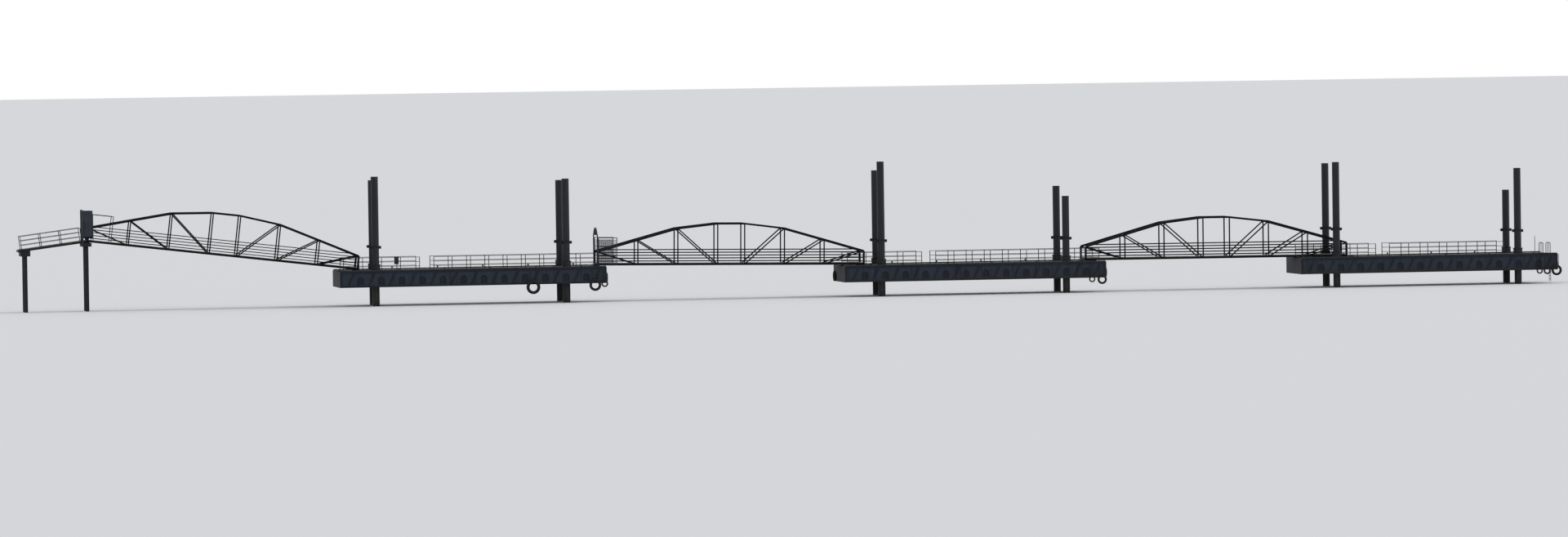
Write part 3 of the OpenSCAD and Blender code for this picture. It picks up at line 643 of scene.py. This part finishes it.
TYRE = tyre()
for i in range(3):
    spots = []
    links = []
    for back, k, depth in SIDE_TYRES[i]:
        for side, drop in ((NEAR, depth), (FAR, FAR_DEPTH)):
            x, z = END[i] - back, DECK[i] - drop
            y = side * (HALF_W + TYRE_OFF + k * TYRE_W / 2)
            spin = turned(chance.uniform(0, 360), "Z")
            spots.append(at(x, y, z) @ turned(90, "X") @ spin @ Matrix.Scale(k, 4))
            top = DECK[i] - CHAIN_TOP
            count = int((top - (z + k * TYRE_R * 0.62)) / LINK_STEP)
            for dx in (-0.45, 0.45):
                hang = (x + dx * k * TYRE_R, side * (HALF_W + CHAIN_OFF))
                links += [at(*hang, top - n * LINK_STEP) @ turned(90 * (n % 2), "Z")
                          for n in range(count)]
    # One tyre lies flat on the outer end, and pontoon 2 has one on its shoreward end too.
    for way in ((-1, 1) if i == 1 else (1,)):
        out = TYRE_OFF + END_TYRE * TYRE_W / 2
        x = END[i] + out if way > 0 else START[i] - out
        y, z = -way * HALF_W * 2 / 3, DECK[i] - END_TYRE_FOOT + END_TYRE * TYRE_R
        spin = turned(chance.uniform(0, 360), "Z")
        spots.append(at(x, y, z) @ turned(90, "Y") @ spin @ Matrix.Scale(END_TYRE, 4))
    tyres = done(copies(copy_of(TYRE), spots), f"pontoon_{i + 1}_tyres", "fender_rubber",
                 round_over=35)
    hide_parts(f"pontoon_{i + 1}_fenders")
    done(copies(chain_link(), links), f"pontoon_{i + 1}_chains", "bollard_iron", round_over=60)
bpy.data.objects.remove(TYRE)


# Bolts, foot plates and welds

FOOT_THICK = 0.0014


def bolt():
    """A hexagon head on a washer that lies on z = 0."""
    washer = rod(0.0022, 0.0, 0.0005, sides=10)
    head = rod(0.0015, 0.0004, 0.0017, sides=6, edge=0.0002)
    return joined([washer, head])


def bolted(name, slot, places, size=1.0):
    """Bolt heads on the places, a place's Z being the way that the bolt points."""
    done(copies(bolt(), [p @ Matrix.Scale(size, 4) for p in places]), name, slot)


def corners(x, y):
    """The four places at plus and minus x and y."""
    return [(dx, dy) for dx in (-x, x) for dy in (-y, y)]


def footed(plates, bolts, slot, places, wide, deep, spots, size=1.0, thick=FOOT_THICK):
    """Two pieces: a foot plate at each place, and on it a bolt at each of the spots (x, y)."""
    plate = block((-wide / 2, -deep / 2, 0), (wide / 2, deep / 2, thick), 0.0004)
    done(copies(plate, places), plates, slot)
    bolted(bolts, slot, [p @ at(dx, dy, thick) for p in places for dx, dy in spots], size)


def posts(length):
    """The middles of the posts of a railing of this length."""
    half_post, widest_bay = 0.00275, 0.172
    bays = math.ceil(length / widest_bay)
    return [half_post + k * (length - 2 * half_post) / bays for k in range(bays + 1)]


RAIL_Y = 0.1375
# A railing's foot plate, the bolts on it and their size
RAIL_FOOT = (0.015, 0.011, ((-0.0051, 0), (0.0051, 0)), 0.8)
# Where a pontoon's short and long railing start, and how far before the end the long one stops
SHORT_RAIL, SHORT_RAIL_L, LONG_RAIL = 0.045, 0.645, 0.805
RAIL_STOP = (0.045, 0.030, 0.430)
GUIDE_BOLT_R, GUIDE_TOP = 0.0427, 0.004
GUIDE_BOLT_ANGLES = (15, 75, 105, 165, 195, 255, 285, 345)
LUG_X, LUG_Y, LUG_BOLT_Z = 0.0415, 0.006, (-0.009, 0.003)
WELD_Z, WELD_BELOW_TOP = 0.61, 0.005
BAYS = 13
KERB_Y, KERB_TOP = 0.282, 0.010
BOLLARD_X, BOLLARD_STEP, BOLLARD_Y = 0.5, 0.385, 0.256
BOLLARD_BASE, BOLLARD_BOLT = 0.003, 0.0105

for i in range(3):
    tag = f"pontoon_{i + 1}"
    long_rail_l = END[i] - START[i] - RAIL_STOP[i] - LONG_RAIL
    along = [START[i] + SHORT_RAIL + x for x in posts(SHORT_RAIL_L)]
    along += [START[i] + LONG_RAIL + x for x in posts(long_rail_l)]
    feet = [at(x, side * RAIL_Y, DECK[i] + BOARD_TOP) for x in along for side in BOTH]
    footed(f"{tag}_railing_feet", f"{tag}_railing_bolts", "railing_steel", feet, *RAIL_FOOT)
    guide_bolts = []
    lug_bolts = []
    welds = []
    for side in BOTH:
        for k in (0, 1):
            pile = at(START[i] + PILE_X[side][i][k], side * PILE_Y, 0)
            guide_bolts += [pile @ turned(a, "Z") @ at(GUIDE_BOLT_R, 0, DECK[i] + GUIDE_TOP)
                            for a in GUIDE_BOLT_ANGLES]
            collar = COLLAR_Z[2 * i + k]
            lug_bolts += [pile @ at(dx, face * LUG_Y, collar + dz) @ turned(-90 * face, "X")
                          for dx in (-LUG_X, LUG_X) for face in BOTH for dz in LUG_BOLT_Z]
            welds += [pile @ at(0, 0, z)
                      for z in (WELD_Z, PILE_TOP[side][2 * i + k] - WELD_BELOW_TOP)]
    bolted(f"{tag}_guide_bolts", "guide_steel", guide_bolts)
    bolted(f"{tag}_collar_bolts", "collar_steel", lug_bolts)
    done(copies(band(0.0305, 0.0007, 48, 5), welds), f"{tag}_pile_welds", "pile_steel",
         round_over=60)
    half_bay = (END[i] - START[i]) / BAYS / 2
    bolted(f"{tag}_kerb_bolts", "kerb_paint",
           [at(START[i] + half_bay * k, side * KERB_Y, DECK[i] + KERB_TOP)
            for k in range(1, 2 * BAYS) for side in BOTH])
    bases = [at(START[i] + BOLLARD_X + BOLLARD_STEP * k, side * BOLLARD_Y, DECK[i] + BOLLARD_BASE)
             for k in range(5) for side in BOTH]
    spots = corners(BOLLARD_BOLT, BOLLARD_BOLT)
    bolted(f"{tag}_bollard_bolts", "bollard_iron",
           [p @ at(dx, dy, 0) for p in bases for dx, dy in spots], 0.9)

APPROACH_RAIL_FROM, APPROACH_RAIL_TO, APPROACH_RAIL_Y = 0.028, 0.038, 0.0995
rail_l = APPROACH_L - APPROACH_RAIL_FROM - APPROACH_RAIL_TO
feet = [ON_APPROACH @ at(x - APPROACH_RAIL_TO - rail_l, side * APPROACH_RAIL_Y, BOARD_TOP)
        for x in posts(rail_l) for side in BOTH]
footed("approach_railing_feet", "approach_railing_bolts", "railing_steel", feet, *RAIL_FOOT)

PORTAL_X = SHORE_X - 0.029
GATE_POST_Y, DOOR_POST_Y = 0.1177, 0.0405
ARCH_POST_X = 0.0055
feet = [at(PORTAL_X, side * GATE_POST_Y, SEAT) for side in BOTH]
feet += [ON_APPROACH @ at(PORTAL_X - SHORE_X, side * DOOR_POST_Y, BOARD_TOP) for side in BOTH]
feet += [at(BRIDGE_X[1] + ARCH_POST_X, side * GATE_POST_Y, DECK[0] + BOARD_TOP) for side in BOTH]
footed("gate_post_feet", "gate_post_bolts", "gate_steel", feet, 0.017, 0.017,
       corners(0.0063, 0.0063), 0.7)

# Where the bearings stand, from a bridge's shoreward and outer end
BEARING_FROM, BEARING_TO, BEARING_Y = 0.013, 0.017, 0.105
feet = []
for i in range(3):
    length = BRIDGE_L * math.cos(SLOPE[i])
    below = SEAT if i == 0 else DECK[i - 1] + BOARD_TOP
    for side in BOTH:
        feet.append(at(BRIDGE_X[i] + BEARING_FROM, side * BEARING_Y, below))
        feet.append(at(BRIDGE_X[i] + length - BEARING_TO, side * BEARING_Y, DECK[i] + BOARD_TOP))
footed("bearing_plates", "bearing_bolts", "bearing_steel", feet, 0.036, 0.022,
       corners(0.0135, 0.006), thick=0.0016)


# Bracing and stringers under the bridges

TRUSS_END, MID_PANEL = 0.008, 0.230
BRACE_W, BRACE_Y, BRACE_Z = 0.18, 0.003, (0.0035, 0.0055)
STRINGER_Y, STRINGER_HALF, STRINGER_Z = 0.05, 0.0025, (0.0065, 0.0105)
# Keeps crossing flats from lying in one plane
BRACE_LIFT = 0.0004
NODE_X = [TRUSS_END + (BRIDGE_L - 2 * TRUSS_END - MID_PANEL) / 6 * k for k in range(4)]
NODE_X += [BRIDGE_L - x for x in reversed(NODE_X)]
for i in range(3):
    bars = []
    for a, b in zip(NODE_X, NODE_X[1:]):
        half = math.hypot(b - a, BRACE_W) / 2
        for way in (-1, 1):
            lean = math.atan2(BRACE_W * way, b - a)
            bar = block((-half, -BRACE_Y, BRACE_Z[0]), (half, BRACE_Y, BRACE_Z[1]), 0.0004)
            middle = at((a + b) / 2, 0, BRACE_LIFT * way)
            bars.append(placed(bar, middle @ Matrix.Rotation(lean, 4, "Z")))
    for y in (-STRINGER_Y, STRINGER_Y):
        bars.append(block((BRIDGE_END, y - STRINGER_HALF, STRINGER_Z[0]),
                          (BRIDGE_L - BRIDGE_END, y + STRINGER_HALF, STRINGER_Z[1]), 0.0005))
    done(placed(joined(bars), on_bridge(i)), f"bridge_{i + 1}_bracing", "truss_steel")


# Gates

leaf_low, leaf_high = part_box("shore_gate_leaf")
SCREEN_Y, SHEET = 0.1162, 0.0015
WING_H, WING_X, WING_EDGE, WING_RIBS = 0.214, (0.0107, 0.0707), 0.006, 5
CHEEK_X, CHEEK_EDGE, CHEEK_RIBS = (0.0045, 0.0727), 0.004, 6
RIB_DEEP, RIB_SUNK, RIB_SHARE = 0.0008, 0.0004, 0.28


def flutes(low, high, count, deep):
    """Pressed ribs side by side along x between two corners, upright, that rise towards -y."""
    step = (high[0] - low[0]) / count
    half = step * RIB_SHARE
    rib = block((-half, -deep, low[2]), (half, RIB_SUNK, high[2]), 0.0005)
    return copies(rib, [at(low[0] + step * (k + 0.5), low[1], 0) for k in range(count)])


# The clad wings outside the trusses, then the cheeks beside the doorway, with ribs on both faces
ribs = []
for side in BOTH:
    for face in BOTH:
        part = flutes((PORTAL_X + WING_X[0], 0, leaf_high.z - WING_H + WING_EDGE),
                      (PORTAL_X + WING_X[1], 0, leaf_high.z - WING_EDGE), WING_RIBS, RIB_DEEP)
        ribs.append(placed(part, at(0, side * SCREEN_Y + face * SHEET, 0) @ mirrored(face)))
for side in BOTH:
    for face in BOTH:
        part = flutes((CHEEK_X[0], 0, leaf_low.z + CHEEK_EDGE),
                      (CHEEK_X[1], 0, leaf_high.z - CHEEK_EDGE), CHEEK_RIBS, RIB_DEEP)
        foot = at(PORTAL_X + face * SHEET, side * DOOR_POST_Y, 0)
        ribs.append(placed(part, foot @ turned(90 * side, "Z") @ mirrored(-face * side)))
done(joined(ribs), "shore_gate_ribs", "gate_steel")

# The leaf's sheets, below and above its middle rail
HINGE_X, HINGE_Y = PORTAL_X + 0.012, DOOR_POST_Y
LEAF_X, LEAF_EDGE, LEAF_RIBS, LEAF_RIB_DEEP, LEAF_SHEET = (0.010, 0.076), 0.006, 6, 0.0009, 0.001
middle = leaf_low.z + (leaf_high.z - leaf_low.z) * 0.45
ribs = []
for face in BOTH:
    for low_z, high_z in ((leaf_low.z + LEAF_EDGE, middle - 0.001),
                          (middle + 0.006, leaf_high.z - LEAF_EDGE)):
        part = flutes((HINGE_X + LEAF_X[0], 0, low_z), (HINGE_X + LEAF_X[1], 0, high_z),
                      LEAF_RIBS, LEAF_RIB_DEEP)
        ribs.append(placed(part, at(0, HINGE_Y + face * LEAF_SHEET, 0) @ mirrored(face)))
done(joined(ribs), "gate_leaf_ribs", "gate_steel", body="gate_leaf")

# The lock case, the spindle and the lever. Each block is given from the middle of the case.
lock = at(HINGE_X + 0.0715, HINGE_Y, middle + 0.022)
case = block((-0.006, -0.0024, -0.011), (0.006, 0.003, 0.011), 0.0006)
spindle = placed(rod(0.0014, 0.0, 0.0062, axis="Y"), at(0, 0.002, 0.004))
lever = block((-0.014, 0.0064, 0.0028), (0.0016, 0.0086, 0.0052), 0.0007)
done(placed(joined([case, spindle, lever]), lock), "gate_leaf_lock", "ladder_steel",
     body="gate_leaf", round_over=35)

# The fine mesh behind the bars of the screens beside the arched gate
MESH_X, MESH_L, MESH_H, MESH_STEP = 0.011, 0.160, 0.212, 0.006
WIRE_R, WIRE_Y = 0.0005, 0.0012
slant = math.tan(SLOPE[1])
wires = []
for side in BOTH:
    for k in range(1, int(MESH_H / MESH_STEP)):
        z = k * MESH_STEP
        wire = rod(WIRE_R, MESH_X + 0.002 - z * slant, MESH_X + MESH_L - 0.004, sides=4, axis="X")
        wires.append(placed(wire, at(0, side * SCREEN_Y + WIRE_Y, z)))
    for k in range(1, int(MESH_L / MESH_STEP)):
        wire = rod(WIRE_R, 0.003, MESH_H, sides=4)
        wires.append(placed(wire, at(MESH_X + k * MESH_STEP, side * SCREEN_Y - WIRE_Y, 0)))
done(placed(joined(wires), on_bridge(1)), "arched_gate_mesh", "gate_steel")


# Fittings on the decks

# On the box on pontoon 1's railing: a latch, the seam under the lid and two straps
box = at(START[0] + 0.474, -0.140, DECK[0] + 0.112)
latch = block((0.014, -0.0162, -0.008), (0.022, -0.0138, 0.0005), 0.0005)
seam = block((-0.0006, -0.0146, -0.0012), (0.0366, -0.0004, -0.0002), 0.0003)
straps = [block((x, -0.0004, -0.048), (x + 0.004, 0.0052, -0.044), 0.0004) for x in (0.006, 0.026)]
done(placed(joined([latch, seam] + straps), box), "lifebuoy_box_fittings", "ladder_steel")

LADDER_FEET_X, LADDER_Y = (-0.0253, -0.060, -0.088), 0.023
discs = [at(END[2] + x, side * LADDER_Y, DECK[2] + BOARD_TOP)
         for x in LADDER_FEET_X for side in BOTH]
done(copies(rod(0.006, 0, FOOT_THICK, sides=24, edge=0.0004), discs), "ladder_feet",
     "ladder_steel", round_over=35)
bolted("ladder_bolts", "ladder_steel",
       [p @ turned(a, "Z") @ at(0.0042, 0, FOOT_THICK) for p in discs for a in (90, 210, 330)], 0.5)
pole = at(END[2] - 0.110, 0.070, DECK[2] + 0.003)
bolted("marker_pole_bolts", "ladder_steel",
       [pole @ at(0.0062 * x, 0.0062 * y, 0) for x, y in ((1, 0), (-1, 0), (0, 1), (0, -1))], 0.7)


# Floor and light

nothing_selected()
bpy.ops.mesh.primitive_plane_add(size=900, location=(0, 0, 0))
floor = bpy.context.object
floor.name = "floor"
ground = Finish("pale floor", rough=0.9, shine=0.1)
ground.surface.inputs["Base Color"].default_value = paint(214, 216, 219)
floor.data.materials.append(ground.material)

# The world is white to the eye and in mirrors and glass, and a softer light to all else.
world = bpy.data.worlds.new("studio")
bpy.context.scene.world = world
world.use_nodes = True
sky = world.node_tree
soft = sky.nodes["Background"]
soft.inputs["Color"].default_value = (0.97, 0.985, 1.0, 1)
soft.inputs["Strength"].default_value = 0.75
white = sky.nodes.new("ShaderNodeBackground")
white.inputs["Color"].default_value = (1, 1, 1, 1)
white.inputs["Strength"].default_value = 1.0
seen = sky.nodes.new("ShaderNodeLightPath")
share = seen.outputs["Is Camera Ray"]
for kind in ("Is Glossy Ray", "Is Transmission Ray"):
    most = sky.nodes.new("ShaderNodeMath")
    most.operation = "MAXIMUM"
    sky.links.new(share, most.inputs[0])
    sky.links.new(seen.outputs[kind], most.inputs[1])
    share = most.outputs[0]
choose = sky.nodes.new("ShaderNodeMixShader")
sky.links.new(share, choose.inputs[0])
sky.links.new(soft.outputs[0], choose.inputs[1])
sky.links.new(white.outputs[0], choose.inputs[2])
sky.links.new(choose.outputs[0], sky.nodes["World Output"].inputs["Surface"])

bpy.ops.object.light_add(type="SUN", location=(8, -6, 10))
sun = bpy.context.object
sun.name = "soft_sun"
sun.data.energy = 1.3
sun.data.angle = math.radians(12)
sun.data.color = (1.0, 0.97, 0.93)
sun.rotation_euler = Vector((0.9, 0.0, 0.62)).to_track_quat("Z", "Y").to_euler()


# The photograph's camera, fitted to points on the piles, hulls and trusses. FOCUS is in its pixels.

PICTURE_W, SENSOR_W = 1920, 36
YAW, TILT, ROLL = math.radians(-9.2382), math.radians(1.5), math.radians(0.8499)
DISTANCE, FOCUS = 68.6051, 9929.4
AIM = Vector((-0.1121, 0, 0.2456))
back = Vector((math.sin(YAW) * math.cos(TILT), -math.cos(YAW) * math.cos(TILT), math.sin(TILT)))
right = Vector((math.cos(YAW), math.sin(YAW), 0))
up = back.cross(right)
level_right = math.cos(ROLL) * right - math.sin(ROLL) * up
level_up = math.sin(ROLL) * right + math.cos(ROLL) * up
eye = AIM + DISTANCE * back
lens = bpy.data.cameras.new("long_lens")
lens.sensor_width = SENSOR_W
lens.lens = FOCUS / PICTURE_W * SENSOR_W
lens.clip_start = 1
lens.clip_end = 3000
camera = bpy.data.objects.new("camera", lens)
bpy.context.scene.collection.objects.link(camera)
camera.matrix_world = Matrix((
    (level_right.x, level_up.x, back.x, eye.x),
    (level_right.y, level_up.y, back.y, eye.y),
    (level_right.z, level_up.z, back.z, eye.z),
    (0, 0, 0, 1)))
bpy.context.scene.camera = camera
bpy.context.scene.view_settings.view_transform = "Standard"
